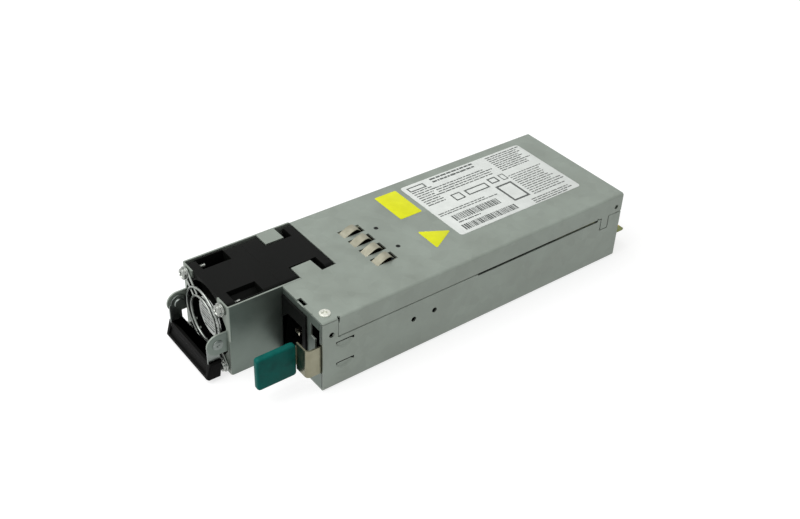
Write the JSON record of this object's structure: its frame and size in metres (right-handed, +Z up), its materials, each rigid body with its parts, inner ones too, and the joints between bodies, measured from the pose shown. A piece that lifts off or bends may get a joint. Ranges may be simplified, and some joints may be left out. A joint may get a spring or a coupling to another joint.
{
  "type": "hot swap server power supply",
  "caption": "Slim sheet-metal power supply module with fan cage, fold-down handle, side latch, recessed inlet and a card-edge output at the rear.",
  "frame": {"origin": "middle of the width, on the underside, in the plane of the inlet face", "axes": "+X across towards the latch side, +Y from the inlet end to the card edge, +Z up"},
  "size_m": [0.0734, 0.235, 0.041],
  "materials": {
    "case_steel": "galvanised sheet steel",
    "spring_steel": "stainless spring strip",
    "nickel_plate": "nickel plated",
    "guard_wire": "nickel plated wire",
    "bail_steel": "zinc plated strip",
    "grip_plastic": "moulded black",
    "tab_plastic": "moulded teal",
    "fan_plastic": "moulded black",
    "motor_steel": "laminated and ground steel",
    "inlet_plastic": "moulded black",
    "plated_brass": "tin plated",
    "laminate": "solder mask on glass laminate",
    "contact_gold": "gold plated",
    "copper": "tinned and bare copper",
    "ferrite": "sintered",
    "winding_tape": "polyester tape",
    "insulating_film": "translucent film",
    "capacitor_sleeve": "shrunk sleeve",
    "bare_aluminium": "mill finish",
    "epoxy": "transfer moulded",
    "film_box": "moulded box",
    "fuse_ceramic": "ceramic tube"
  },
  "bodies": {
    "case": {"board_screws": "nickel_plate", "board_standoffs": "plated_brass", "boost_choke": "copper", "bulk_capacitors": "capacitor_sleeve", "card_contacts": "contact_gold", "chassis_tray": "case_steel", "clip_rivets": "nickel_plate", "control_board": "laminate", "control_chips": "epoxy", "cover_screw": "nickel_plate", "fan_bearings": "motor_steel", "fan_screws": "nickel_plate", "film_capacitor": "film_box", "filter_board": "laminate", "filter_choke": "copper", "finger_guard": "guard_wire", "front_fan_frame": "fan_plastic", "front_fan_stator": "motor_steel", "grounding_clip": "spring_steel", "handle_rivets": "nickel_plate", "inlet_housing": "inlet_plastic", "inlet_pins": "plated_brass", "inlet_plate": "case_steel", "insulating_film": "insulating_film", "line_fuse": "fuse_ceramic", "main_board": "laminate", "output_busbars": "copper", "output_capacitors": "bare_aluminium", "output_card": "laminate", "power_transistors": "epoxy", "primary_heat_sink": "bare_aluminium", "rear_fan_frame": "fan_plastic", "rear_fan_stator": "motor_steel", "rear_panel": "case_steel", "rectifiers": "epoxy", "secondary_heat_sink": "bare_aluminium", "top_cover": "case_steel", "transformer_core": "ferrite", "transformer_winding": "winding_tape"},
    "handle": {"handle_bail": "bail_steel", "handle_grip": "grip_plastic"},
    "latch": {"latch_spring": "spring_steel", "latch_tab": "tab_plastic"},
    "front_rotor": {"front_impeller": "fan_plastic", "front_fan_magnet": "motor_steel", "front_fan_shaft": "motor_steel"},
    "rear_rotor": {"rear_impeller": "fan_plastic", "rear_fan_magnet": "motor_steel", "rear_fan_shaft": "motor_steel"}
  },
  "joints": [
    {"name": "handle_pivot", "type": "hinge", "parent": "case", "child": "handle", "pos_m": [-0.01613, -0.033, 0.0195], "axis": [-1, 0, 0], "range_deg": [0, 95]},
    {"name": "latch_flex", "type": "hinge", "parent": "case", "child": "latch", "pos_m": [0.03505, 0.0136, 0.018], "axis": [0, 0, 1], "range_deg": [-6, 0], "stiffness_Nm_per_rad": 0.2},
    {"name": "front_fan_spin", "type": "hinge", "parent": "case", "child": "front_rotor", "pos_m": [-0.01613, 0, 0.0198], "axis": [0, 1, 0], "continuous": true},
    {"name": "rear_fan_spin", "type": "hinge", "parent": "case", "child": "rear_rotor", "pos_m": [-0.01613, 0.02, 0.0198], "axis": [0, 1, 0], "continuous": true}
  ]
}
